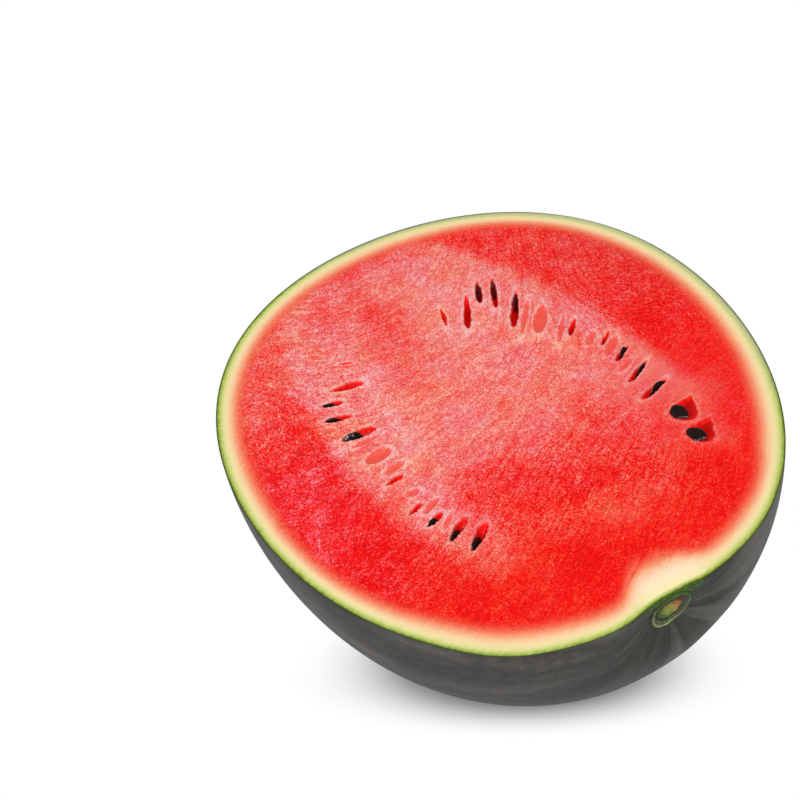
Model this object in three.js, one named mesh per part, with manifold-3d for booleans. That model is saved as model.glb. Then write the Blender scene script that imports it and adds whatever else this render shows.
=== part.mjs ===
// A watermelon cut in half along its length, lying on its skin with the cut face up and level.
// Millimetres, +Z up. The stem end points towards -Y, and the small flat spot it rests on is at z = 0.
// The fruit grew as one piece, so it is one closed solid: skin, rind and flesh with the seed pockets
// cut into the face, the seeds sunk in them, and the dry scar of the stem in its dimple at the end.
import * as THREE from 'three';
import { mergeVertices } from 'three/addons/utils/BufferGeometryUtils.js';
import Module from 'manifold-3d';

// The whole fruit: egg-shaped, round about the line from the stem to the blossom end
const HALF_LENGTH = 138.5;
const HALF_WIDTH = 120;
const STEM_TAPER = 0.046; // how much narrower the stem end is than the blossom end
const END_FULLNESS = 0.076; // how much blunter both ends are than an ellipse
const DEPTH_BELOW_CUT = 118; // a little under the half-width, which leaves the flat spot to rest on

// The stem end: the dimple, the wider shoulder beside it and the swelling on its other side. A turn is
// from the stem towards +X and a drop is below the cut, in degrees. A swelling has a negative depth.
const DIMPLE = { turn: 4.8, drop: 6, depth: 8.6, spread: 17.3 };
const SHOULDER = { turn: 12.4, drop: 0, depth: 2.8, spread: 32 };
const SWELLING = { turn: -23.4, drop: 0, depth: -2.6, spread: 27 };

// The stem scar in the dimple, an oval that leans: a raised lip, a groove inside it and a low core
const SCAR = { turn: 6.9, drop: 5.3 };
const SCAR_SLANT = 0.35; // how much higher it lies at its +X side, per unit of width
const SCAR_OUTER_RADIUS = 8.8;
const SCAR_LIP_RADIUS = 7.9;
const SCAR_GROOVE_RADIUS = 6.2;
const SCAR_CORE_RADIUS = 4.8;
const SCAR_LIP_HEIGHT = 1.2;
const SCAR_GROOVE_HEIGHT = 0.3;
const SCAR_CORE_HEIGHT = 1.4;
const SCAR_ROOT = 1.6; // how far it reaches into the fruit

// The seeds, and how far a seed stands out of the cut face
const SEED_WIDTH = 6.8;
const SEED_THICKNESS = 2;
const SEED_PROUD = 0.9;

// The pockets that the knife opened, by kind: depth below the face, and how much they narrow outwards
const KINDS = {
  slit: { depth: 1.3, narrowing: 0.2 },
  slot: { depth: 4.5, narrowing: 0.3 },
  dent: { depth: 1.1, narrowing: 0 },
  fan: { depth: 2.6, narrowing: 0.8 },
};

// The two rows of pockets beside the heart of the flesh. Each entry is a pocket: how far it lies from
// the middle of the face towards the stem, how far towards +X, its heading, its length, its width and
// its kind, and where a seed shows on edge in its outer part, the seed's length and lean. Headings are
// in degrees from the way to the stem, turning towards +X. A seed with no lean would lie flat.
const POCKETS = [
  [-67, 5, 168, 13.5, 1.8, 'slit'],
  [-64.5, 16, 158, 24.5, 3.3, 'slot'],
  [-74.5, 26.5, 161, 16.5, 3.1, 'slot', 11, 90],
  [-70, 32.5, 160, 22, 2.9, 'slot', 12, 90],
  [-54.5, 36, 152, 25.5, 3.8, 'slot', 12, 80],
  [-41.5, 43, 148, 20, 6.2, 'dent'],
  [-29, 53, 142, 12.5, 2.8, 'slot'],
  [-14.5, 62.5, 134, 11, 2.2, 'slot'],
  [-1.5, 64, 126, 12, 2.6, 'slot', 8, 72],
  [12.5, 64.5, 122, 16.5, 3, 'slot', 10.5, 90],
  [26, 65, 112, 17, 3.7, 'slot', 11, 74],
  [-62, -47, -111, 7.5, 1.7, 'slit'],
  [-47.5, -52.5, -99, 16, 4.2, 'slot'],
  [-40.5, -62.5, -104, 10.5, 2.8, 'slot', 8, -90],
  [-30.5, -64, -102, 13, 3.1, 'slot', 9, -82],
  [-16.5, -59, -90, 16.5, 5, 'slot', 10, -58],
  [0.5, -56.5, -77, 13, 7, 'dent'],
  [17.5, -56, -74, 9, 2.8, 'slot'],
  [37.5, -55, -63, 8, 2, 'slot'],
  [47, -50, -61, 9, 2.6, 'slot', 6.5, -70],
  [57, -44, -52, 14, 3, 'slot', 8.5, -76],
  [65, -38, -46, 16, 3.6, 'slot', 9.5, -70],
  [43, 71, 135, 16, 10, 'fan'],
  [58, 71, 129, 16, 10, 'fan'],
];
// The seeds that lie nearly flat in the mouths of the two fans: along, across, heading, length, lean
const FLAT_SEEDS = [
  [43.8, 67, 28, 9.8, 12],
  [59.3, 66.7, 42, 9.8, 12],
];

// How finely the curved surfaces are faceted
const ROUND_SEGMENTS = 72;
const LENGTH_SEGMENTS = 36;
const STEM_CROWDING = 1.4; // crowds the rings of facets towards the stem
const SMALL_SEGMENTS = 10;
const SMALL_RINGS = 6;
const SCAR_SEGMENTS = 32;

const STEM_AXIS = new THREE.Vector3(0, -1, 0);
const UP = new THREE.Vector3(0, 0, 1);
const wasm = await Module();
wasm.setup();

// A closed three.js geometry as a solid that can be joined and cut
function toSolid(geometry) {
  const bare = geometry.clone();
  bare.deleteAttribute('normal');
  bare.deleteAttribute('uv');
  const merged = mergeVertices(bare, 1e-4);
  const vertProperties = new Float32Array(merged.attributes.position.array);
  const triVerts = new Uint32Array(merged.index.array);
  return new wasm.Manifold(new wasm.Mesh({ numProp: 3, vertProperties, triVerts }));
}

function toGeometry(solid) {
  const mesh = solid.getMesh();
  const geometry = new THREE.BufferGeometry();
  geometry.setAttribute('position', new THREE.BufferAttribute(new Float32Array(mesh.vertProperties), 3));
  geometry.setIndex(new THREE.BufferAttribute(new Uint32Array(mesh.triVerts), 1));
  geometry.computeVertexNormals();
  return geometry;
}

// Gives each point of a geometry a new place
function reshape(geometry, move) {
  const position = geometry.attributes.position;
  for (let i = 0; i < position.count; i++) {
    const point = new THREE.Vector3().fromBufferAttribute(position, i);
    position.setXYZ(i, ...move(point));
  }
}

// The direction from the middle of the cut face to a place at the stem end
function stemDirection({ turn, drop }) {
  const side = THREE.MathUtils.degToRad(turn);
  const down = THREE.MathUtils.degToRad(drop);
  return new THREE.Vector3(
    Math.sin(side) * Math.cos(down),
    -Math.cos(side) * Math.cos(down),
    -Math.sin(down),
  );
}

// The egg outline: distance along the long axis and half-width, for t from 0 at the stem to PI
function outline(t) {
  const c = Math.cos(t);
  const fullness = 1 - STEM_TAPER * c + END_FULLNESS * c * c;
  return [HALF_LENGTH * c, HALF_WIDTH * Math.sin(t) * fullness];
}

// How far the plain egg's skin is from the middle in a direction, found by halving the range of t
function eggRadius(direction) {
  const angle = direction.angleTo(STEM_AXIS);
  let near = 0;
  let far = Math.PI;
  for (let i = 0; i < 40; i++) {
    const middle = (near + far) / 2;
    const [along, across] = outline(middle);
    if (Math.atan2(across, along) < angle) near = middle;
    else far = middle;
  }
  return Math.hypot(...outline(near));
}

function hollow(direction, { depth, spread, ...place }) {
  const distance = direction.angleTo(stemDirection(place)) * HALF_LENGTH;
  return depth * Math.exp(-((distance / spread) ** 2));
}

function skinRadius(direction) {
  const hollows = [DIMPLE, SHOULDER, SWELLING];
  return hollows.reduce((radius, place) => radius - hollow(direction, place), eggRadius(direction));
}

// The whole fruit, its facets in rings round the dimple and finest there
function wholeFruit() {
  const geometry = new THREE.SphereGeometry(1, ROUND_SEGMENTS, LENGTH_SEGMENTS);
  const toStem = new THREE.Quaternion().setFromUnitVectors(
    new THREE.Vector3(0, 1, 0),
    stemDirection(DIMPLE),
  );
  reshape(geometry, (point) => {
    const spherical = new THREE.Spherical().setFromVector3(point.normalize());
    spherical.phi = Math.PI * (spherical.phi / Math.PI) ** STEM_CROWDING;
    const direction = new THREE.Vector3().setFromSpherical(spherical).applyQuaternion(toStem);
    return direction.multiplyScalar(skinRadius(direction));
  });
  return toSolid(geometry);
}

// The scar, turned about an axis and then laid on the skin of the dimple, each point at its own height
function stemScar() {
  const profile = [
    [0, -SCAR_ROOT],
    [SCAR_LIP_RADIUS, -SCAR_ROOT],
    [SCAR_OUTER_RADIUS, 0],
    [(SCAR_LIP_RADIUS + SCAR_OUTER_RADIUS) / 2, SCAR_LIP_HEIGHT * 0.8],
    [SCAR_LIP_RADIUS, SCAR_LIP_HEIGHT],
    [(SCAR_LIP_RADIUS + SCAR_GROOVE_RADIUS) / 2, SCAR_LIP_HEIGHT / 2],
    [SCAR_GROOVE_RADIUS, SCAR_GROOVE_HEIGHT],
    [SCAR_CORE_RADIUS, SCAR_CORE_HEIGHT * 0.7],
    [SCAR_CORE_RADIUS / 2, SCAR_CORE_HEIGHT],
    [0, SCAR_CORE_HEIGHT],
  ];
  const points = profile.map(([radius, height]) => new THREE.Vector2(radius, height));
  const geometry = new THREE.LatheGeometry(points, SCAR_SEGMENTS);
  const outward = stemDirection(SCAR);
  const side = UP.clone().cross(outward).normalize();
  const upward = outward.clone().cross(side);
  const distance = skinRadius(outward);
  reshape(geometry, (point) => {
    const direction = outward.clone().multiplyScalar(distance);
    direction.addScaledVector(side, point.x);
    direction.addScaledVector(upward, SCAR_SLANT * point.x - point.z);
    direction.normalize();
    return direction.multiplyScalar(skinRadius(direction) + point.y);
  });
  return toSolid(geometry);
}

// The knife's plane on top and the flat spot below, as one large block
function cutBlock() {
  const wide = 4 * HALF_LENGTH;
  const geometry = new THREE.BoxGeometry(wide, wide, DEPTH_BELOW_CUT);
  geometry.translate(0, 0, -DEPTH_BELOW_CUT / 2);
  return toSolid(geometry);
}

// A rounded lump in the face: its length, width and height, how much it narrows along its length, its
// lean about its length, its heading, and where it lies
function lump(size, narrowing, lean, heading, along, across, z) {
  const geometry = new THREE.SphereGeometry(0.5, SMALL_SEGMENTS, SMALL_RINGS);
  geometry.rotateZ(Math.PI / 2);
  reshape(geometry, (point) => [point.x, point.y * (1 - 2 * narrowing * point.x), point.z]);
  geometry.scale(...size);
  geometry.rotateX(THREE.MathUtils.degToRad(lean));
  geometry.rotateZ(THREE.MathUtils.degToRad(heading) - Math.PI / 2);
  geometry.translate(across, -along, z);
  return toSolid(geometry);
}

function pocketCutter([along, across, heading, length, width, kind]) {
  const { depth, narrowing } = KINDS[kind];
  return lump([length, width, 2 * depth], narrowing, 0, heading, along, across, 0);
}

// A seed with its crest a little proud of the face
function seed(along, across, heading, length, lean) {
  const angle = THREE.MathUtils.degToRad(lean);
  const crest = Math.hypot(SEED_WIDTH * Math.sin(angle), SEED_THICKNESS * Math.cos(angle)) / 2;
  return lump([length, SEED_WIDTH, SEED_THICKNESS], 0, lean, heading, along, across, SEED_PROUD - crest);
}

// A seed on edge whose outer end meets the outer end of its pocket
function seedInPocket([along, across, heading, length, , , seedLength, lean]) {
  const angle = THREE.MathUtils.degToRad(heading);
  const out = (length - seedLength) / 2;
  return seed(along + out * Math.cos(angle), across + out * Math.sin(angle), heading, seedLength, lean);
}

function watermelonHalf() {
  let solid = wholeFruit().add(stemScar()).intersect(cutBlock());
  for (const pocket of POCKETS) solid = solid.subtract(pocketCutter(pocket));
  for (const pocket of POCKETS.filter(([, , , , , , seedLength]) => seedLength)) {
    solid = solid.add(seedInPocket(pocket));
  }
  for (const [along, across, heading, length, lean] of FLAT_SEEDS) {
    solid = solid.add(seed(along, across, heading, length, lean));
  }
  return toGeometry(solid);
}

// Moves the half so that the middle of its bounding box's bottom is the origin
function standOnOrigin(geometry) {
  geometry.computeBoundingBox();
  const { min, max } = geometry.boundingBox;
  geometry.translate(-(min.x + max.x) / 2, -(min.y + max.y) / 2, -min.z);
}

const geometry = watermelonHalf();
standOnOrigin(geometry);
const flesh = new THREE.MeshStandardMaterial({ color: 0xe8362c, roughness: 0.45, metalness: 0 });
const half = new THREE.Mesh(geometry, flesh);
half.name = 'watermelon_half';
const watermelon = new THREE.Group();
watermelon.add(half);
export default watermelon;
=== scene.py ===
"""Half a watermelon on a white studio floor, cut face up.

The flesh, the skin, the stem scar and the seeds are pieces of their own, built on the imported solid's
egg outline. Along means towards the stem end (-Y), across means towards +X, both from the middle of
the cut face. A heading is in degrees from the way to the stem, turning towards +X. Lengths are metres.
"""

import bisect
import math

import bmesh
import bpy
from mathutils import Matrix, Vector, noise


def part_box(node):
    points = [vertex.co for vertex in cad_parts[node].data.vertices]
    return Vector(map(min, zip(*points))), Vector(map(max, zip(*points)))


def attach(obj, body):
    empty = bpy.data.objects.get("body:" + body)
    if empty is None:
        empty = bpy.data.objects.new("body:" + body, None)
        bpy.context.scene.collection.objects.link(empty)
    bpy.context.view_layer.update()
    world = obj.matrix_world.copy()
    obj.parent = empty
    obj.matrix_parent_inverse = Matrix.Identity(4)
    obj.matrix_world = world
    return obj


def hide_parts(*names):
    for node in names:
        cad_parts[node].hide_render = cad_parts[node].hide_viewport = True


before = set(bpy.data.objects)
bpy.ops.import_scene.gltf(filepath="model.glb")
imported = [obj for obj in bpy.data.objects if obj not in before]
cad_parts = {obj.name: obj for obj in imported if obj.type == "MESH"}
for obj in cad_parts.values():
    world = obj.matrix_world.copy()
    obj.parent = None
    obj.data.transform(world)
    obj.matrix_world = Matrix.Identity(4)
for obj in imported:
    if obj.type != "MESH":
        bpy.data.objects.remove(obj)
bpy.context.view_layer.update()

NODE = "watermelon_half"
MM = 0.001
noise.seed_set(1)  # noise_vector gives other values in each run without it

# The egg outline of the whole fruit and where the knife went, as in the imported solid
HALF_LENGTH = 138.5 * MM
HALF_WIDTH = 120 * MM
STEM_TAPER = 0.046
END_FULLNESS = 0.076
DEPTH_BELOW_CUT = 118 * MM
SKIN_INSET = 0.15 * MM  # keeps the smooth skin inside the faceted solid's box
DIMPLE = {"turn": 4.8, "drop": 6, "depth": 8.6 * MM, "spread": 17.3 * MM}
SHOULDER = {"turn": 12.4, "drop": 0, "depth": 2.8 * MM, "spread": 32 * MM}
SWELLING = {"turn": -23.4, "drop": 0, "depth": -2.6 * MM, "spread": 27 * MM}
SCAR = {"turn": 6.9, "drop": 5.3}
FURROWS = {"depth": 0.9 * MM, "count": 2.4, "start": 9 * MM, "end": 80 * MM}

# Skin shell, whose cut edge is the lip
SKIN_THICKNESS = 0.45 * MM
LIP_ROUNDING = 0.12 * MM
LIP_STEPS = 3
SKIN_TURNS = 400
SKIN_RINGS = 66
SKIN_STEP = math.radians(88 / SKIN_RINGS)
ON_FACE = 1e-6  # a point less than this below the cut is on the face

# Marks on the skin: how far the dark round the scar reaches, and how far round it and below the cut the
# skin is blotched with green
DARK_REACH = 26 * MM
GREEN_REACH = 19 * MM
GREEN_DROP = 9 * MM
# The veins fan out from the scar: their pattern's radius round it, and how slowly it changes outwards
VEIN_RADIUS = 20 * MM
VEIN_STRETCH = 0.06

# Flesh and rind. A swell is a place where the rind is thicker or thinner: turn, half-width, extra.
FACE_CELLS = 200
FINE_MARGIN = 1.2 * MM  # how far beyond a pocket's edge the cells are split
RIND_THICKNESS = 8.1 * MM
GREEN_RIND = 3.2 * MM
CREAM_START = 10 * MM  # a rind thicker than this turns cream
CREAM_SPAN = 6 * MM
RIND_SWELLS = [
    (8.0, 8.0, 8.0 * MM),
    (-24, 17, 1.9 * MM),
    (39, 6, -0.6 * MM),
    (57, 14, 0.6 * MM),
    (-68, 16, -0.9 * MM),
    (150, 16, -0.6 * MM),
    (182, 20, 1.0 * MM),
]
# Places where the flesh is paler or deeper red: along, across, reach along and across in mm, change
FLESH_PATCHES = [
    (100, -6, 16, 20, -0.24),
    (60, 14, 11, 30, -0.3),
    (82, 62, 16, 14, -0.3),
    (82, 20, 9, 12, 0.22),
    (38, 82, 12, 10, 0.3),
    (40, -18, 12, 12, -0.22),
    (42, -54, 14, 14, 0.16),
    (-98, -42, 16, 12, -0.24),
    (-104, -18, 14, 12, 0.24),
    (-122, 2, 10, 18, -0.24),
    (-66, 10, 26, 20, 0.14),
    (5, -42, 60, 9, 0.18),
    (0, 60, 12, 8, -0.35),
    (20, 34, 12, 12, -0.2),
    (10, -88, 30, 10, 0.1),
    (-40, -80, 14, 10, -0.24),
    (50, -80, 20, 12, -0.25),
    (-20, 84, 14, 10, -0.16),
]
RELIEF = 0.16 * MM
RELIEF_SIZE = 2.2 * MM
RELIEF_EDGE = 1.5 * MM  # how far in from the skin the relief fades in
POCKET_RIM = 0.25 * MM
RIM_PLACE = 1.15  # the raised rim's crest, with the pocket's edge at 1
RIM_WIDTH = 0.8 * MM
POCKET_WOBBLE = 0.55 * MM
WOBBLE_SIZE = 1.8 * MM
SIDE_STEPS = 18  # rings of facets under the rim, as close as the skin's
SIDE_RINGS = 8  # coarser rings below them
SIDE_END = math.radians(86)
FIBRE_STRETCH = 0.2

# Seeds
SEED_WIDTH = 6.8 * MM
SEED_THICKNESS = 1.7 * MM
SEED_PROUD = 0.5 * MM
SEED_TAPER = 0.42
SEED_DENTS = 0.1
SEED_DENT_SIZE = 1.8 * MM

# The pockets by kind: depth in the middle, how far they narrow outwards, how red or coral they are; their red
# darkens to painted shade in the middle
KINDS = {
    "slit": {"depth": 1.3 * MM, "narrowing": 0.2, "red": 0.8, "coral": 0},
    "slot": {"depth": 4.5 * MM, "narrowing": 0.3, "red": 1, "coral": 0},
    "dent": {"depth": 1.0 * MM, "narrowing": 0.05, "red": 0, "coral": 1},
    "trace": {"depth": 0.4 * MM, "narrowing": 0, "red": 0, "coral": 0.6},
    "fan": {"depth": 2.6 * MM, "narrowing": 0.8, "red": 1, "coral": 0},
}

# The two rows of pockets beside the heart: along, across, heading, length, width and kind, and the
# length and lean of the seed that shows in a pocket's outer part, all in millimetres and degrees
POCKETS = [
    (-67, 5, 168, 13.5, 1.8, "slit"),
    (-64.5, 16, 158, 24.5, 3.3, "slot"),
    (-74.5, 26.5, 161, 16.5, 3.1, "slot", 11, 90),
    (-70, 32.5, 160, 22, 2.9, "slot", 12, 90),
    (-54.5, 36, 152, 25.5, 3.8, "slot", 12, 80),
    (-46, 37, 147, 24, 3, "trace"),
    (-41.5, 43, 148, 20, 6.2, "dent"),
    (-29.5, 47.5, 146, 18.5, 2.8, "trace"),
    (-29, 53, 142, 12.5, 2.8, "slot"),
    (-17.5, 56.5, 137, 10, 4.3, "trace"),
    (-14.5, 62.5, 134, 11, 2.2, "slot"),
    (-8, 62, 134, 13, 4.3, "trace"),
    (-1.5, 64, 126, 12, 2.6, "slot", 8, 72),
    (6.5, 61.5, 120, 10, 2.6, "trace"),
    (12.5, 64.5, 122, 16.5, 3, "slot", 10.5, 90),
    (26, 65, 112, 17, 3.7, "slot", 11, 74),
    (-62, -47, -111, 7.5, 1.7, "slit"),
    (-47.5, -52.5, -99, 16.5, 4.8, "slot"),
    (-40.5, -62.5, -104, 11.5, 3.6, "slot", 8, -90),
    (-30.5, -64, -102, 14, 4.0, "slot", 9, -82),
    (-25, -69.5, -110, 6.5, 3.8, "trace"),
    (-16.5, -59, -90, 17, 5.6, "slot", 10, -58),
    (-10.5, -58, -86, 13.5, 3.1, "trace"),
    (0.5, -56.5, -77, 13, 7.4, "dent"),
    (11, -53.5, -75, 11.5, 4.5, "trace"),
    (17.5, -56, -74, 9.5, 3.5, "slot"),
    (28.5, -52, -85, 7, 4, "trace"),
    (37.5, -55, -63, 9, 2.9, "slot"),
    (39.5, -48.5, -61, 10.5, 4, "trace"),
    (47, -50, -61, 10, 3.5, "slot", 6.5, -70),
    (51, -46, -44, 9.5, 2.7, "trace"),
    (57, -44, -52, 14.5, 4.1, "slot", 8.5, -76),
    (65, -38, -46, 16.5, 4.7, "slot", 9.5, -70),
    (43, 71, 135, 16, 10, "fan"),
    (58, 71, 129, 16, 10, "fan"),
]
# The seeds that lie nearly flat in the mouths of the two fans: along, across, heading, length, lean
FLAT_SEEDS = [
    (43.8, 67, 28, 9.8, 12),
    (59.3, 66.7, 42, 9.8, 12),
]

# Camera: the lens and its frame are in millimetres
CAMERA_AZIMUTH = math.radians(-19.39)
CAMERA_ELEVATION = math.radians(44.26)
CAMERA_DISTANCE = 0.7937
CAMERA_ROLL = math.radians(8.43)
CAMERA_YAW = math.radians(-3.02)
CAMERA_PITCH = math.radians(-0.22)
CAMERA_LENS = 81
CAMERA_FRAME = 36
# The soft shadow on the floor, long from left to right and ahead of the fruit's middle. It fades out
# between the two distances of fade, and it is whole within the first distance of contact.
SHADOW = {
    "turn": math.radians(-29.1),
    "stretch": 3.2,
    "ahead": 60 * MM,
    "behind": 0.6,  # the share at which distances behind its middle count
    "fade": (13 * MM, 34 * MM),
    "contact": (50 * MM, 76 * MM),
}
# The studio: the room's brightness, and each soft box's place, width and power in watts
WHITE = (1, 1, 1, 1)
ROOM_LIGHT = 0.25
LIGHT_TARGET = Vector((0, 0, 0.1))
SOFT_BOXES = {
    "key": (Vector((-0.8, -2.0, 3.5)), 1.5, 140),
    "back": (Vector((-0.5, 1.2, 1.2)), 0.5, 1.5),
}

low, high = (Vector(corner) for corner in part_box(NODE))
MIDDLE = Vector(((low.x + high.x) / 2, high.y - HALF_LENGTH, low.z + DEPTH_BELOW_CUT))


# Camera, floor and light

def aim_camera():
    azimuth, elevation = CAMERA_AZIMUTH, CAMERA_ELEVATION
    back = Vector((
        math.sin(azimuth) * math.cos(elevation),
        -math.cos(azimuth) * math.cos(elevation),
        math.sin(elevation),
    ))
    right = Vector((math.cos(azimuth), math.sin(azimuth), 0))
    level = Matrix((right, back.cross(right), back))
    roll = Matrix.Rotation(CAMERA_ROLL, 3, "Z")
    yaw = Matrix.Rotation(CAMERA_YAW, 3, "Y")
    pitch = Matrix.Rotation(CAMERA_PITCH, 3, "X")
    lens = bpy.data.cameras.new("camera")
    lens.lens = CAMERA_LENS
    lens.sensor_width = CAMERA_FRAME
    lens.clip_end = 20
    camera = bpy.data.objects.new("camera", lens)
    place = Matrix.Translation(MIDDLE + back * CAMERA_DISTANCE)
    camera.matrix_world = place @ (pitch @ yaw @ roll @ level).transposed().to_4x4()
    bpy.context.collection.objects.link(camera)
    bpy.context.scene.camera = camera


def lay_floor():
    """A white floor that the camera sees as pure white, with only the soft shadow under the fruit."""
    bm = bmesh.new()
    bmesh.ops.create_grid(bm, x_segments=1, y_segments=1, size=4)
    floor = finish_mesh(bm, "floor", flat=True)
    material = bpy.data.materials.new("white_floor")
    material.use_nodes = True
    make = Recipe(material.node_tree)
    seen = make.node("LightPath").outputs["Is Camera Ray"]
    matt = make.node("BsdfDiffuse").outputs[0]
    white = make.node("Emission").outputs[0]
    place = make.node("TexCoord").outputs["Object"]
    turn = SHADOW["turn"]
    wide = (math.cos(turn) / SHADOW["stretch"], math.sin(turn) / SHADOW["stretch"], 0)
    ahead = (math.sin(turn), -math.cos(turn), 0)
    forward = make.sum("SUBTRACT", make.aim("DOT_PRODUCT", place, ahead, 1), SHADOW["ahead"])
    forward = make.sum("MAXIMUM", forward, make.sum("MULTIPLY", forward, -SHADOW["behind"]))
    away = make.node("CombineXYZ", {0: make.aim("DOT_PRODUCT", place, wide, 1), 1: forward}).outputs[0]
    away = make.stretch(make.aim("LENGTH", away, output=1), *SHADOW["fade"])
    beyond = make.stretch(make.aim("LENGTH", place, output=1), *SHADOW["contact"])
    share = make.sum("MULTIPLY", seen, make.sum("MULTIPLY", away, beyond))
    either = make.node("MixShader", {0: share, 1: matt, 2: white}).outputs[0]
    make.feed(material.node_tree.nodes["Material Output"].inputs["Surface"], either)
    floor.data.materials.append(material)


def soft_box(name, place, width, power):
    light = bpy.data.lights.new(name, "AREA")
    light.shape = "SQUARE"
    light.size = width
    light.energy = power
    lamp = bpy.data.objects.new(name, light)
    lamp.location = place
    lamp.rotation_euler = (LIGHT_TARGET - place).to_track_quat("-Z", "Y").to_euler()
    bpy.context.collection.objects.link(lamp)


def light_studio():
    """An even white room, seen as plain white, with a large soft box above the camera and one behind."""
    world = bpy.data.worlds.new("studio")
    world.use_nodes = True
    nodes = world.node_tree.nodes
    make = Recipe(world.node_tree)
    room = nodes["Background"]
    room.inputs["Color"].default_value = WHITE
    room.inputs["Strength"].default_value = ROOM_LIGHT
    backdrop = make.node("Background", {"Color": WHITE}).outputs[0]
    seen = make.node("LightPath").outputs["Is Camera Ray"]
    either = make.node("MixShader", {0: seen, 1: room.outputs[0], 2: backdrop}).outputs[0]
    make.feed(nodes["World Output"].inputs["Surface"], either)
    bpy.context.scene.world = world
    for name, box in SOFT_BOXES.items():
        soft_box(name, *box)
    bpy.context.scene.view_settings.view_transform = "Standard"


# The shape of the fruit

def toward(turn, drop):
    """The direction from the middle of the face, turned from the stem towards +X and dropped, in radians."""
    flat = math.cos(drop)
    return Vector((math.sin(turn) * flat, -math.cos(turn) * flat, -math.sin(drop)))


def outline(t):
    c = math.cos(t)
    fullness = 1 - STEM_TAPER * c + END_FULLNESS * c * c
    return HALF_LENGTH * c, HALF_WIDTH * math.sin(t) * fullness


def smooth(x):
    x = max(0.0, min(1.0, x))
    return x * x * (3 - 2 * x)


EGG_STEPS = 720
EGG = [outline(math.pi * i / EGG_STEPS) for i in range(EGG_STEPS + 1)]
EGG_ANGLES = [math.atan2(across, along) for along, across in EGG]
EGG_RADII = [math.hypot(along, across) for along, across in EGG]
SCAR_WAY = toward(math.radians(SCAR["turn"]), math.radians(SCAR["drop"]))
SCAR_SIDE = Vector((0, 0, 1)).cross(SCAR_WAY).normalized()
SCAR_UP = SCAR_WAY.cross(SCAR_SIDE)


def egg_radius(direction):
    angle = math.acos(max(-1, min(1, -direction.y)))
    i = max(1, min(EGG_STEPS, bisect.bisect_left(EGG_ANGLES, angle)))
    share = (angle - EGG_ANGLES[i - 1]) / (EGG_ANGLES[i] - EGG_ANGLES[i - 1])
    return EGG_RADII[i - 1] + (EGG_RADII[i] - EGG_RADII[i - 1]) * share


def hollow(direction, turn, drop, depth, spread):
    centre = toward(math.radians(turn), math.radians(drop))
    distance = direction.angle(centre, 0) * HALF_LENGTH
    return depth * math.exp(-((distance / spread) ** 2))


def round_scar(direction):
    """Distance of a direction from the scar, over the skin, and a unit vector for its way round it."""
    flat = Vector((direction.dot(SCAR_SIDE), direction.dot(SCAR_UP), 0))
    return direction.angle(SCAR_WAY, 0) * HALF_LENGTH, flat.normalized()


def furrow(direction):
    """The soft folds of the skin that run in to the stem."""
    distance, way_round = round_scar(direction)
    if distance > FURROWS["end"]:
        return 0.0
    fade = smooth((distance - FURROWS["start"]) / FURROWS["start"])
    fade *= 1 - smooth(distance / FURROWS["end"])
    return FURROWS["depth"] * fade * (0.5 + noise.noise(way_round * FURROWS["count"]))


def skin_radius(direction):
    radius = egg_radius(direction) - SKIN_INSET - furrow(direction)
    for place in (DIMPLE, SHOULDER, SWELLING):
        radius -= hollow(direction, **place)
    return radius


# Mesh helpers

def finish_mesh(bm, name, flat=False):
    bmesh.ops.recalc_face_normals(bm, faces=bm.faces)
    mesh = bpy.data.meshes.new(name)
    bm.to_mesh(mesh)
    bm.free()
    if not flat:
        mesh.shade_smooth()
    piece = bpy.data.objects.new(name, mesh)
    bpy.context.collection.objects.link(piece)
    return piece


def close_loop(bm, edges):
    made = bmesh.ops.contextual_create(bm, geom=edges)["faces"]
    bmesh.ops.poke(bm, faces=made)


def extrude_ring(bm, edges, place):
    """Extrudes a closed ring of edges and puts each new vertex where place(its co) says."""
    made = bmesh.ops.extrude_edge_only(bm, edges=edges)["geom"]
    for element in made:
        if isinstance(element, bmesh.types.BMVert):
            element.co = place(element.co)
    return [element for element in made if isinstance(element, bmesh.types.BMEdge)]


# Pockets

def heading_way(heading):
    angle = math.radians(heading)
    return Vector((math.sin(angle), -math.cos(angle)))


def lay_out(along, across, heading, length, width, kind, seed=0, lean=0):
    return {
        "place": Vector((across, -along)) * MM,
        "out": heading_way(heading),
        "length": length * MM,
        "half": width * MM / 2,
        "seed": seed * MM,
        "lean": math.radians(lean),
        **KINDS[kind],
    }


PLACES = [lay_out(*pocket) for pocket in POCKETS]
FAR_OFF = 9.0


def wobbled(point):
    """A point of the face moved a little, so that the pockets' edges aren't smooth curves."""
    place = Vector((point.x, point.y, 0)) / WOBBLE_SIZE
    shift = noise.noise_vector(place) + 0.5 * noise.noise_vector(place * 2.7)
    return point + shift.xy * POCKET_WOBBLE


def from_pocket(pocket, point):
    """A point's distances from a pocket's middle, out along the pocket and to its side."""
    offset = point - pocket["place"]
    out = pocket["out"]
    return offset.dot(out), offset.y * out.x - offset.x * out.y


def pocket_reach(pocket, point):
    """How far out of a pocket's middle a point lies, with its edge at 1, and how deep it is there."""
    outward, side = from_pocket(pocket, point)
    outward /= pocket["length"] / 2
    if abs(outward) > 1.4 or abs(side) > 3 * pocket["half"] + 2 * MM:
        return FAR_OFF, 0.0
    half = pocket["half"] * max(0.1, 1 - pocket["narrowing"] * outward)
    reach = math.hypot(outward, side / half)
    return reach, math.sqrt(max(0.0, 1 - reach ** 2))


def near_pocket(point):
    for pocket in PLACES:
        outward, side = from_pocket(pocket, point)
        length, half = pocket["length"] / 2, pocket["half"] * 1.3
        if abs(outward) < length + FINE_MARGIN and abs(side) < half + FINE_MARGIN:
            return True
    return False


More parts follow.
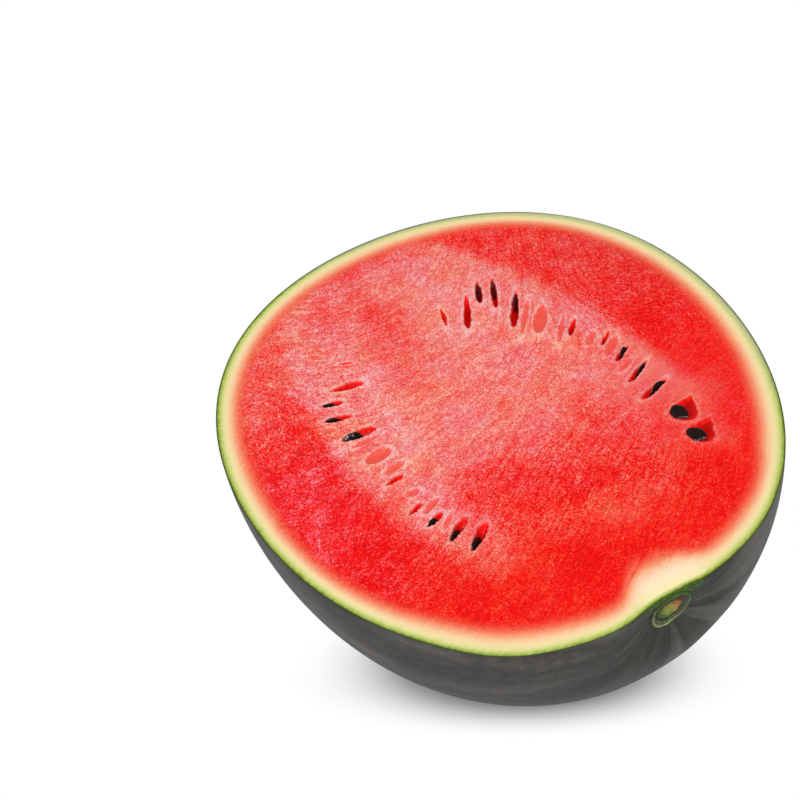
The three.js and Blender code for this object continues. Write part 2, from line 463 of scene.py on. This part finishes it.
def pockets_at(point):
    """What the pockets make of a point of the face: how sunk, red and coral it is, or how raised."""
    found = dict.fromkeys(("depth", "red", "coral"), 0.0)
    ridge = 0.0
    ragged = wobbled(point)
    for pocket in PLACES:
        reach, share = pocket_reach(pocket, ragged)
        for name in found:
            found[name] = max(found[name], share * pocket[name])
        gap = (reach - RIM_PLACE) * pocket["half"] / RIM_WIDTH
        ridge = max(ridge, math.exp(-gap * gap))
    found["ridge"] = 0.0 if found["depth"] else ridge
    return found


# Flesh

def rind_thickness(turn):
    """Turn is in radians from the stem towards +X."""
    thickness = RIND_THICKNESS
    for middle, width, extra in RIND_SWELLS:
        gap = abs((math.degrees(turn) - middle + 180) % 360 - 180)
        thickness += extra * math.exp(-((gap / width) ** 4))
    return thickness


def rind_share(depth, thickness):
    """How far in through the rind a depth is. The green outer rind is as thick everywhere."""
    if depth < GREEN_RIND:
        return depth / RIND_THICKNESS
    if depth > thickness:
        return 1 + (depth - thickness) / (0.6 * RIND_THICKNESS + 0.4 * thickness)
    start = GREEN_RIND / RIND_THICKNESS
    return start + (1 - start) * (depth - GREEN_RIND) / (thickness - GREEN_RIND)


def paleness(along, across):
    """How pale the flesh is, from 0, deep red, to 1, pink. Both distances are in millimetres."""
    upper = 81 - 0.002 * (along - 50) ** 2
    lower = -76 + 0.0021 * (along + 35) ** 2
    inside = smooth(0.5 + (upper - across) / 11) * smooth(0.5 + (across - lower) / 12)
    inner = 0.84 - 0.45 * smooth((along - 5) / 45)
    inner += 0.28 * math.exp(-(((across - lower - 12) / 11) ** 2)) * smooth((along - 10) / 40)
    inner -= 0.36 * math.exp(-(((across + 22) / 11) ** 2)) * smooth((-along - 10) / 70)
    outer = 0.14 + (0.42 if across < 0 else 0.16) * smooth((-along - 10) / 60)
    stem = smooth((along - 65) / 40)
    pale = (outer + (inner - outer) * inside) * (1 - 0.75 * stem)
    for middle, side, reach, width, change in FLESH_PATCHES:
        pale += change * math.exp(-(((along - middle) / reach) ** 2) - ((across - side) / width) ** 2)
    return pale


def fibre_place(along, across):
    """Which fibre a point of the flesh lies on, and how far along it, all in millimetres.

    The fibres cross the heart from one row of seeds to the other, and fan out at the blossom end.
    """
    heading = -65 + 16 * smooth(along / 60)
    spread = 0.17 + 0.83 * smooth(-along / 60)
    middle = max(-110, min(-15, heading + spread * across / 2))
    return along - across / math.tan(math.radians(middle)), across


def face_disc():
    """A grid mapped smoothly onto a disc and stretched to the rim, finer round the pockets."""
    bm = bmesh.new()
    bmesh.ops.create_grid(bm, x_segments=FACE_CELLS, y_segments=FACE_CELLS, size=1)
    for vert in bm.verts:
        x, y = vert.co.x, vert.co.y
        flat = Vector((x * math.sqrt(1 - y * y / 2), y * math.sqrt(1 - x * x / 2), 0))
        share = min(1.0, flat.length)
        turn = math.atan2(flat.x, -flat.y)
        way = toward(turn, 0)
        vert.co = way * share * (skin_radius(way) - SKIN_THICKNESS)
    fine = [f for f in bm.faces if near_pocket(f.calc_center_median().xy)]
    bm.edges.index_update()
    edges = sorted({e for f in fine for e in f.edges}, key=lambda e: e.index)
    bmesh.ops.subdivide_edges(bm, edges=edges, cuts=2, use_grid_fill=True)
    return bm


def inner_skin(co, drop, gap):
    """The point inside the skin at a drop, in the same turn as a vertex."""
    turn = math.atan2(co.x, -co.y)
    way = toward(turn, drop)
    point = way * (skin_radius(way) - gap)
    point.z = max(point.z, gap - DEPTH_BELOW_CUT)
    return point


def liveliness(along, across, pale):
    """How strongly the grain and its painted glints show: less where the flesh is pale, and on the +X side
    and by the stem.
    """
    calmer = smooth((across - 30) / 50) * smooth((along + 30) / 50)
    calmer = max(calmer, 0.7 * smooth((along - 65) / 30))
    livelier = smooth((-across - 20) / 40) * (1 - smooth((along + 20) / 40))
    return 1.3 - 0.52 * pale - 0.65 * calmer + 0.2 * livelier


def work_face(bm):
    """Marks the face for its material, cuts the pockets into it and roughens it."""
    names = ("rind", "cream", "red", "coral", "ridge", "pale", "liveliness")
    masks = {name: bm.verts.layers.float.new(name) for name in names}
    fibre = bm.verts.layers.float_vector.new("fibre")
    for vert in bm.verts:
        if vert.co.z < -ON_FACE:
            continue
        point = vert.co.xy
        along, across = -point.y / MM, point.x / MM
        line, step = fibre_place(along, across)
        vert[fibre] = (line * MM, step * MM * FIBRE_STRETCH, 0)
        turn = math.atan2(point.x, -point.y)
        depth = skin_radius(toward(turn, 0)) - point.length
        thickness = rind_thickness(turn)
        marks = pockets_at(point)
        sunk = marks.pop("depth")
        marks["rind"] = rind_share(depth, thickness)
        marks["cream"] = smooth((thickness - CREAM_START) / CREAM_SPAN)
        marks["pale"] = paleness(along, across)
        marks["liveliness"] = liveliness(along, across, marks["pale"])
        for name, value in marks.items():
            vert[masks[name]] = value
        rough = noise.fractal(vert.co / RELIEF_SIZE, 0.8, 2.0, 3)
        edge = smooth((depth - SKIN_THICKNESS) / RELIEF_EDGE)
        relief = RELIEF * (0.7 + 0.5 * marks["pale"]) * (0.8 + rough) * (0.35 if sunk else 1)
        vert.co.z = POCKET_RIM * marks["ridge"] - sunk - edge * relief


def build_flesh():
    bm = face_disc()
    rim = [edge for edge in bm.edges if edge.is_boundary]
    drops = [SKIN_STEP * step for step in range(1, SIDE_STEPS + 1)]
    rest = SIDE_END - drops[-1]
    drops += [drops[-1] + rest * ring / SIDE_RINGS for ring in range(1, SIDE_RINGS + 1)]
    for drop in drops:
        rim = extrude_ring(bm, rim, lambda co: inner_skin(co, drop, SKIN_THICKNESS))
    close_loop(bm, rim)
    work_face(bm)
    for vert in bm.verts:
        vert.co += MIDDLE
    return finish_mesh(bm, "flesh")


# Skin

def build_skin():
    rows = [SKIN_STEP * step for step in range(SKIN_RINGS, 0, -1)]
    bm = bmesh.new()
    bmesh.ops.create_circle(bm, segments=SKIN_TURNS, radius=1)
    for vert in bm.verts:
        vert.co = inner_skin(vert.co, rows[0], 0)
    ring = list(bm.edges)
    start = list(ring)
    for drop in rows[1:]:
        ring = extrude_ring(bm, ring, lambda co: inner_skin(co, drop, 0))

    def lip(co, inset, below):
        turn = math.atan2(co.x, -co.y)
        way = toward(turn, 0)
        point = way * (skin_radius(way) - inset)
        point.z = -below
        return point

    for step in range(LIP_STEPS + 1):
        bend = math.radians(90 * step / LIP_STEPS)
        inset = LIP_ROUNDING * (1 - math.cos(bend))
        below = LIP_ROUNDING * (1 - math.sin(bend))
        ring = extrude_ring(bm, ring, lambda co: lip(co, inset, below))
    ring = extrude_ring(bm, ring, lambda co: lip(co, SKIN_THICKNESS, 0))
    for drop in reversed(rows):
        ring = extrude_ring(bm, ring, lambda co: inner_skin(co, drop, SKIN_THICKNESS))
    close_loop(bm, ring)
    close_loop(bm, start)
    masks = {name: bm.verts.layers.float.new(name) for name in ("cut", "scar", "green", "painted_fold_shade")}
    vein = bm.verts.layers.float_vector.new("vein")
    for vert in bm.verts:
        vert[masks["cut"]] = 1.0 if vert.co.z > -ON_FACE else 0.0
        distance, way_round = round_scar(vert.co.normalized())
        vert[masks["scar"]] = math.exp(-((distance / DARK_REACH) ** 2))
        near_cut = smooth(1 + vert.co.z / GREEN_DROP)
        vert[masks["green"]] = near_cut * math.exp(-((distance / GREEN_REACH) ** 4))
        vert[masks["painted_fold_shade"]] = furrow(vert.co.normalized()) / FURROWS["depth"]
        vert[vein] = way_round * VEIN_RADIUS + Vector((0, 0, distance * VEIN_STRETCH))
        vert.co += MIDDLE
    return finish_mesh(bm, "skin")


# Stem scar

# Radius and height above the skin, from the root round the corky lip and the groove to the core
SCAR_PROFILE = [
    (0, -1.4), (8.0, -1.4), (8.7, -0.6), (8.8, 0.3), (8.5, 0.8), (8.1, 1.0), (7.7, 0.9), (7.3, 0.5),
    (6.9, 0.35), (6.6, 0.5), (6.3, 0.3), (5.9, 0.2), (5.5, 0.5), (5.0, 0.9), (4.2, 1.2), (2.8, 1.35),
    (1.4, 1.3), (0, 1.35),
]
SCAR_STEPS = 120
SCAR_RADIUS = 8.8 * MM
SCAR_SLANT = 0.35
SCAR_WAVES = 0.22 * MM


def build_scar():
    bm = bmesh.new()
    verts = [bm.verts.new((r * MM, 0, h * MM)) for r, h in SCAR_PROFILE]
    edges = [bm.edges.new(pair) for pair in zip(verts, verts[1:])]
    bmesh.ops.spin(bm, geom=verts + edges, axis=(0, 0, 1), cent=(0, 0, 0), steps=SCAR_STEPS,
                   angle=2 * math.pi, use_merge=True)
    bmesh.ops.remove_doubles(bm, verts=bm.verts, dist=1e-6)
    reach = bm.verts.layers.float.new("reach")
    spot = bm.verts.layers.float_vector.new("spot")
    base = skin_radius(SCAR_WAY)
    for vert in bm.verts:
        flat = Vector((vert.co.x, vert.co.y, 0))
        vert[reach] = flat.length / SCAR_RADIUS
        vert[spot] = flat / SCAR_RADIUS
        if flat.length:
            flat *= 1 + 0.05 * noise.noise(flat.normalized() * 1.7)
        height = vert.co.z
        if height > 0:
            wave = noise.noise(flat / (2.2 * MM)) + 0.6 * noise.noise(flat / (1.0 * MM))
            height += SCAR_WAVES * wave
        leaning = flat.y + SCAR_SLANT * flat.x
        way = (SCAR_WAY * base + SCAR_SIDE * flat.x + SCAR_UP * leaning).normalized()
        vert.co = way * (skin_radius(way) + height) + MIDDLE
    return finish_mesh(bm, "stem_scar")


# Seeds

def add_seed(bm, place, out, length, lean):
    """A flattened drop, its pointed end outwards and its crest a little proud of the face."""
    made = bmesh.ops.create_uvsphere(bm, u_segments=32, v_segments=22, radius=0.5)["verts"]
    for vert in made:
        x, y, z = vert.co.z, vert.co.x, vert.co.y
        pinch = 1 - SEED_TAPER * smooth(x * 2) ** 2
        flank = 1 - y * y
        form = Vector((x * length, y * SEED_WIDTH * pinch, z * SEED_THICKNESS * flank * pinch))
        dented = noise.fractal((form + place.to_3d()) / SEED_DENT_SIZE, 0.7, 2.0, 3)
        vert.co = form * (1 + SEED_DENTS * dented)
    crest = math.hypot(SEED_WIDTH * math.sin(lean), SEED_THICKNESS * math.cos(lean)) / 2
    turn = Matrix.Rotation(math.atan2(out.y, out.x), 4, "Z") @ Matrix.Rotation(lean, 4, "X")
    shift = Matrix.Translation((place.x, place.y, SEED_PROUD - crest))
    bmesh.ops.transform(bm, matrix=shift @ turn, verts=made)


def build_seeds():
    bm = bmesh.new()
    for pocket in PLACES:
        if pocket["seed"]:
            place = pocket["place"] + pocket["out"] * (pocket["length"] - pocket["seed"]) / 2
            add_seed(bm, place, pocket["out"], pocket["seed"], pocket["lean"])
    for along, across, heading, length, lean in FLAT_SEEDS:
        place = Vector((across, -along)) * MM
        add_seed(bm, place, heading_way(heading), length * MM, math.radians(lean))
    for vert in bm.verts:
        vert.co += MIDDLE
    return finish_mesh(bm, "seeds")


# Materials

class Recipe:
    """Adds shader nodes to one tree."""

    def __init__(self, tree):
        self.tree = tree

    def node(self, kind, inputs=None, **settings):
        made = self.tree.nodes.new("ShaderNode" + kind)
        for name, value in settings.items():
            setattr(made, name, value)
        for name, value in (inputs or {}).items():
            self.feed(made.inputs[name], value)
        return made

    def feed(self, socket, value):
        if isinstance(value, bpy.types.NodeSocket):
            self.tree.links.new(value, socket)
        else:
            socket.default_value = value

    def sum(self, operation, a, b=0.0):
        return self.node("Math", {0: a, 1: b}, operation=operation).outputs[0]

    def total(self, start, *parts):
        """A value with others added to it, each as (amount, value), counted from the value's middle."""
        for amount, value in parts:
            swing = self.sum("MULTIPLY", self.sum("SUBTRACT", value, 0.5), amount)
            start = self.sum("ADD", start, swing)
        return start

    def aim(self, operation, a, b=(0, 0, 0), output=0):
        return self.node("VectorMath", {0: a, 1: b}, operation=operation).outputs[output]

    def stretch(self, value, none, full):
        """A mask that rises smoothly from 0, where the value is none, to 1, where it is full."""
        inputs = {0: value, 1: none, 2: full}
        return self.node("MapRange", inputs, interpolation_type="SMOOTHSTEP").outputs[0]

    def noise(self, place, size, detail, roughness, distortion=0.0):
        inputs = {"Vector": place, "Scale": 1 / size, "Detail": detail, "Roughness": roughness,
                  "Distortion": distortion}
        return self.node("TexNoise", inputs).outputs["Fac"]

    def ramp(self, value, stops):
        made = self.node("ValToRGB", {"Fac": value})
        marks = made.color_ramp.elements
        while len(marks) < len(stops):
            marks.new(0.5)
        for mark, (position, colour) in zip(marks, stops):
            mark.position = position
            mark.color = (*colour, 1)
        return made.outputs["Color"]

    def blend(self, share, a, b, how="MIX"):
        made = self.node("Mix", data_type="RGBA", blend_type=how)
        for socket, value in ((made.inputs[0], share), (made.inputs[6], a), (made.inputs[7], b)):
            self.feed(socket, value if not isinstance(value, tuple) else (*value, 1))
        return made.outputs[2]

    def attribute(self, name, output="Fac"):
        return self.node("Attribute", attribute_name=name).outputs[output]


def linear(red, green, blue):
    """A screen colour of 0 to 255 as the linear values that shaders take."""
    def one(value):
        value /= 255
        return value / 12.92 if value <= 0.04045 else ((value + 0.055) / 1.055) ** 2.4
    return one(red), one(green), one(blue)


def fine_relief():
    """Node group: a bump from even noise, as the scar's cork and the seeds' coats have."""
    group = bpy.data.node_groups.new("fine_relief", "ShaderNodeTree")
    group.interface.new_socket("Vector", in_out="INPUT", socket_type="NodeSocketVector")
    for name in ("Scale", "Detail", "Strength", "Distance"):
        group.interface.new_socket(name, in_out="INPUT", socket_type="NodeSocketFloat")
    group.interface.new_socket("Normal", in_out="OUTPUT", socket_type="NodeSocketVector")
    make = Recipe(group)
    given = group.nodes.new("NodeGroupInput").outputs
    pattern = {name: given[name] for name in ("Vector", "Scale", "Detail")}
    height = make.node("TexNoise", {**pattern, "Roughness": 0.6}).outputs["Fac"]
    bump = make.node("Bump", {"Height": height, "Strength": given["Strength"], "Distance": given["Distance"]})
    make.feed(group.nodes.new("NodeGroupOutput").inputs["Normal"], bump.outputs[0])
    return group


def roughen(make, shader, group, place, size, detail, strength, depth):
    relief = make.node("Group", node_tree=group)
    values = {"Vector": place, "Scale": 1 / size, "Detail": detail, "Strength": strength, "Distance": depth}
    for name, value in values.items():
        make.feed(relief.inputs[name], value)
    make.feed(shader.inputs["Normal"], relief.outputs["Normal"])


def new_material(name):
    material = bpy.data.materials.new(name)
    material.use_nodes = True
    shader = material.node_tree.nodes["Principled BSDF"]
    return material, Recipe(material.node_tree), shader


# The flesh's colours from deep red to pale pink, by paleness
FLESH_COLOURS = [
    (-0.3, (236, 2, 4)),
    (0.0, (250, 13, 11)),
    (0.2, (251, 42, 36)),
    (0.5, (249, 80, 73)),
    (0.8, (248, 118, 109)),
    (1.0, (250, 144, 135)),
    (1.4, (254, 190, 180)),
]
# The rind's colours from the skin in to the flesh, by share of the rind's thickness
RIND_COLOURS = [
    (0.07, (108, 132, 34)),
    (0.14, (156, 176, 76)),
    (0.23, (190, 202, 106)),
    (0.34, (216, 217, 138)),
    (0.46, (236, 224, 158)),
    (0.6, (246, 222, 168)),
    (0.76, (250, 208, 160)),
    (0.9, (250, 184, 140)),
    (1.05, (249, 154, 116)),
    (1.25, (248, 120, 88)),
    (1.5, (248, 92, 66)),
    (1.8, (248, 70, 48)),
]
RIND_SPAN = 1.8
FAR_WAY = (0.77, 0.64, 0)  # towards the side where the outer rind is duller


def flesh_material():
    material, make, shader = new_material("wet_flesh_and_rind")
    place = make.node("TexCoord").outputs["Object"]
    fibre = make.attribute("fibre", "Vector")
    red = make.attribute("red")
    coral = make.attribute("coral")
    strands = make.noise(fibre, 0.9 * MM, 2, 0.6)
    tufts = make.noise(fibre, 3.0 * MM, 2, 0.5)
    hairs = make.noise(make.aim("MULTIPLY", fibre, (1, 0.35, 1)), 1.4 * MM, 2, 0.6)
    grain = make.noise(place, 0.6 * MM, 1, 0.5)
    clumps = make.noise(place, 1.6 * MM, 2, 0.6, 0.6)
    blotches = make.noise(place, 9 * MM, 3, 0.6)
    blots = make.stretch(make.noise(place, 4.5 * MM, 2, 0.5), 0.66, 0.78)

    calm = make.sum("SUBTRACT", 1.0, make.sum("MAXIMUM", red, make.sum("MULTIPLY", coral, 0.4)))
    texture = make.total(0.0, (0.7, strands), (0.7, tufts), (0.4, hairs), (1.9, grain), (1.0, clumps),
                         (0.9, blotches))
    liveliness = make.attribute("liveliness")
    texture = make.sum("MULTIPLY", texture, liveliness)
    texture = make.sum("SUBTRACT", texture, make.sum("MULTIPLY", blots, 0.35))
    pale = make.sum("ADD", make.attribute("pale"), make.sum("MULTIPLY", texture, calm))
    pale = make.sum("ADD", pale, make.sum("MULTIPLY", make.attribute("ridge"), 0.3))
    shift = FLESH_COLOURS[0][0]
    span = FLESH_COLOURS[-1][0] - shift
    share = make.sum("DIVIDE", make.sum("SUBTRACT", pale, shift), span)
    flesh = make.ramp(share, [((at - shift) / span, linear(*colour)) for at, colour in FLESH_COLOURS])
    axes = make.node("SeparateXYZ", {0: place}).outputs
    side = make.stretch(axes["X"], MIDDLE.x - 66 * MM, MIDDLE.x - 84 * MM)
    stemward = make.stretch(axes["Y"], MIDDLE.y + 24 * MM, MIDDLE.y - 6 * MM)
    crimson = make.sum("MULTIPLY", side, stemward)
    scarlet = make.stretch(axes["Y"], MIDDLE.y - 45 * MM, MIDDLE.y - 95 * MM)
    flesh = make.blend(make.sum("MULTIPLY", crimson, 0.4), flesh, (1, 1, 2.0), "MULTIPLY")
    flesh = make.blend(make.sum("MULTIPLY", scarlet, 0.7), flesh, (1, 1, 0.55), "MULTIPLY")
    hue = make.total(make.noise(place, 16 * MM, 2, 0.5), (0.9, make.noise(place, 0.9 * MM, 2, 0.6)))
    flesh = make.blend(0.8, flesh, make.ramp(hue, [(0.3, (1, 1, 0.78)), (0.7, (0.98, 1, 1.3))]), "MULTIPLY")
    dented = make.stretch(make.sum("MULTIPLY", coral, make.total(1.0, (2.0, clumps))), 0.0, 0.7)
    flesh = make.blend(dented, flesh, make.blend(0.8, flesh, linear(241, 78, 60)))
    # The pockets' walls are a deeper red than the flesh, and the red darkens further towards their deep
    # middles as painted shade
    pocket_red_and_painted_shade = make.ramp(red, [(0.1, linear(244, 44, 34)), (0.5, linear(236, 18, 10)), (0.9, linear(176, 4, 2))])
    flesh = make.blend(make.stretch(red, 0.0, 0.4), flesh, pocket_red_and_painted_shade)

    ragged = make.noise(place, 2.5 * MM, 4, 0.6)
    cream = make.attribute("cream")
    frayed = make.sum("MULTIPLY", make.total(0.0, (2.0, tufts), (0.8, strands)), cream)
    depth = make.total(make.attribute("rind"), (0.2, hairs))
    ring = make.sum("ADD", make.total(depth, (0.25, ragged)), frayed)
    stops = [(at / RIND_SPAN, linear(*colour)) for at, colour in RIND_COLOURS]
    pith = make.ramp(make.sum("DIVIDE", make.total(depth, (0.12, ragged)), RIND_SPAN), stops)
    creamy = make.sum("MULTIPLY", make.stretch(depth, 0.22, 0.4), make.stretch(depth, 1.1, 0.6))
    creamy = make.sum("MULTIPLY", creamy, cream)
    lightest = make.ramp(depth, [(0.3, linear(254, 242, 182)), (0.8, linear(255, 232, 204))])
    pith = make.blend(make.sum("MULTIPLY", creamy, 0.85), pith, lightest)
    beyond = make.aim("DOT_PRODUCT", make.aim("SUBTRACT", place, tuple(MIDDLE)), FAR_WAY, 1)
    dull = make.sum("MULTIPLY", make.stretch(beyond, 30 * MM, 95 * MM), make.stretch(depth, 0.5, 0.05))
    pith = make.blend(make.sum("MULTIPLY", dull, 0.75), pith, linear(205, 199, 165))
    scar_place = MIDDLE + SCAR_WAY * skin_radius(SCAR_WAY)
    beside = make.stretch(make.aim("DISTANCE", place, tuple(scar_place), 1), 34 * MM, 12 * MM)
    fringe = make.stretch(make.total(make.attribute("rind"), (0.3, clumps)), 0.2, 0.05)
    pith = make.blend(make.sum("MULTIPLY", fringe, beside), pith, linear(86, 112, 14))
    colour = make.blend(make.stretch(ring, 1.1, 1.95), pith, flesh)
    # Painted glints and painted shade in pits: a fine noise lightens and darkens the flesh's colour, as light
    # would catch and miss its wet grains
    painted_glint_noise = make.noise(place, 0.55 * MM, 1, 0.5)
    inside = make.stretch(ring, 0.8, 1.6)
    painted_glint_strength = make.sum("MULTIPLY", make.sum("MULTIPLY", inside, liveliness), calm)
    light = make.total(1.0, (1.1, painted_glint_noise), (0.35, clumps))
    light = make.sum("ADD", 1.0, make.sum("MULTIPLY", make.sum("SUBTRACT", light, 1.0), painted_glint_strength))
    painted_glint_grey = make.node("CombineColor", {0: light, 1: light, 2: light}).outputs[0]
    colour = make.blend(1.0, colour, painted_glint_grey, "MULTIPLY")
    make.feed(shader.inputs["Base Color"], colour)

    make.feed(shader.inputs["Roughness"], make.total(0.4, (0.5, grain)))
    height = make.total(0.0, (0.5, strands), (0.8, grain), (0.5, clumps))
    soft = make.sum("MULTIPLY", calm, make.sum("ADD", make.sum("MULTIPLY", inside, 0.9), 0.1))
    height = make.sum("MULTIPLY", height, soft)
    bump = make.node("Bump", {"Height": height, "Strength": 0.8, "Distance": 0.5 * MM})
    make.feed(shader.inputs["Normal"], bump.outputs[0])
    shader.inputs["Specular IOR Level"].default_value = 0.14
    return material


def skin_material():
    material, make, shader = new_material("waxy_dark_skin")
    place = make.node("TexCoord").outputs["Object"]
    scar = make.attribute("scar")
    rays = make.noise(make.attribute("vein", "Vector"), 6 * MM, 5, 0.6)
    lengthwise = make.aim("MULTIPLY", place, (1, 0.14, 1))
    streaks = make.noise(lengthwise, 4.5 * MM, 4, 0.65)
    cloud = make.noise(place, 30 * MM, 4, 0.6)
    fine = make.noise(place, 1.3 * MM, 3, 0.6)
    bands = make.noise(make.attribute("vein", "Vector"), 11 * MM, 3, 0.5)
    shade = make.total(0.5, (1.6, rays), (1.1, bands), (0.7, streaks), (0.2, cloud), (0.5, fine))
    colour = make.ramp(shade, [
        (0.1, linear(36, 36, 33)),
        (0.5, linear(62, 59, 55)),
        (0.9, linear(96, 92, 88)),
    ])
    tint = make.ramp(make.noise(place, 14 * MM, 3, 0.6), [
        (0.3, (1.05, 1.0, 0.97)),
        (0.5, (1.0, 1.0, 1.0)),
        (0.7, (0.97, 0.98, 1.05)),
    ])
    colour = make.blend(1.0, colour, tint, "MULTIPLY")
    colour = make.blend(make.sum("MULTIPLY", scar, 0.6), colour, linear(44, 50, 34))
    # Painted shade: the skin darkens in its folds by the stem and along thin creases round the scar
    painted_fold_shade = make.stretch(make.attribute("painted_fold_shade"), 0.25, 0.7)
    painted_crease_shade = make.sum("ABSOLUTE", make.sum("SUBTRACT", bands, 0.5))
    painted_crease_shade = make.sum("MULTIPLY", make.stretch(painted_crease_shade, 0.045, 0.0), make.stretch(scar, 0.02, 0.4))
    colour = make.blend(make.sum("MULTIPLY", painted_fold_shade, 0.6), colour, linear(40, 38, 36))
    colour = make.blend(make.sum("MULTIPLY", painted_crease_shade, 0.7), colour, linear(26, 27, 26))
    speckle = make.noise(place, 1.4 * MM, 3, 0.65)
    blotch = make.ramp(speckle, [(0.4, linear(18, 40, 0)), (0.62, linear(80, 120, 4))])
    ragged = make.total(make.attribute("green"), (0.7, speckle))
    colour = make.blend(make.stretch(ragged, 0.2, 0.6), colour, blotch)
    colour = make.blend(make.attribute("cut"), colour, linear(62, 80, 16))
    make.feed(shader.inputs["Base Color"], colour)
    make.feed(shader.inputs["Roughness"], make.total(0.55, (0.4, fine)))
    shader.inputs["Specular IOR Level"].default_value = 0.3
    height = make.total(0.0, (1.0, fine), (1.2, streaks), (1.2, rays))
    bump = make.node("Bump", {"Height": height, "Strength": 0.5, "Distance": 0.4 * MM})
    make.feed(shader.inputs["Normal"], bump.outputs[0])
    return material


def scar_material(relief):
    material, make, shader = new_material("dry_stem_scar")
    place = make.node("TexCoord").outputs["Object"]
    ragged = make.noise(place, 1.4 * MM, 3, 0.6)
    reach = make.total(make.attribute("reach"), (0.16, ragged))
    axes = make.node("SeparateXYZ", {0: make.attribute("spot", "Vector")}).outputs
    slope = make.sum("ADD", make.sum("MULTIPLY", axes["X"], 0.55), make.sum("MULTIPLY", axes["Y"], 0.35))
    core = make.ramp(make.total(make.sum("ADD", slope, 0.45), (1.2, ragged)), [
        (0.05, linear(64, 104, 30)),
        (0.3, linear(112, 138, 44)),
        (0.5, linear(160, 148, 60)),
        (0.68, linear(178, 120, 48)),
        (0.85, linear(104, 54, 20)),
    ])
    edge = make.ramp(reach, [
        (0.58, linear(70, 84, 26)),
        (0.66, linear(22, 36, 10)),
        (0.72, linear(34, 48, 20)),
        (0.77, linear(98, 108, 66)),
        (0.83, linear(44, 56, 28)),
        (0.9, linear(146, 152, 112)),
        (0.97, linear(92, 100, 70)),
        (1.0, linear(48, 54, 40)),
    ])
    right = make.stretch(make.total(axes["X"], (0.4, ragged)), 0.0, 0.7)
    edge = make.blend(make.sum("MULTIPLY", right, 0.6), edge, linear(60, 62, 50))
    top = make.stretch(make.total(make.sum("ADD", axes["Y"], make.sum("MULTIPLY", axes["X"], 0.3)),
                                  (0.6, ragged)), 0.2, 0.6)
    upper = make.ramp(reach, [
        (0.7, linear(86, 38, 14)),
        (0.82, linear(44, 44, 12)),
        (0.92, linear(52, 84, 4)),
    ])
    edge = make.blend(make.sum("MULTIPLY", top, 0.9), edge, upper)
    core = make.blend(make.stretch(reach, 0.3, 0.56), core, make.blend(0.6, core, linear(30, 44, 10)))
    colour = make.blend(make.stretch(reach, 0.5, 0.6), core, edge)
    make.feed(shader.inputs["Base Color"], colour)
    shader.inputs["Roughness"].default_value = 0.7
    roughen(make, shader, relief, place, 0.8 * MM, 3, 0.7, 0.5 * MM)
    return material


def seed_material(relief):
    material, make, shader = new_material("glossy_seed")
    place = make.node("TexCoord").outputs["Object"]
    mottle = make.noise(place, 2.2 * MM, 3, 0.6)
    colour = make.ramp(mottle, [(0.35, linear(8, 5, 5)), (0.7, linear(34, 13, 9))])
    make.feed(shader.inputs["Base Color"], colour)
    make.feed(shader.inputs["Roughness"], make.total(0.16, (0.25, mottle)))
    roughen(make, shader, relief, place, 1.0 * MM, 2, 0.6, 0.3 * MM)
    shader.inputs["Specular IOR Level"].default_value = 0.4
    return material


def dress(piece, material):
    piece.data.materials.append(material)
    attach(piece, "root")
    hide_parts(NODE)


aim_camera()
lay_floor()
light_studio()
relief = fine_relief()
dress(build_flesh(), flesh_material())
dress(build_skin(), skin_material())
dress(build_scar(), scar_material(relief))
dress(build_seeds(), seed_material(relief))
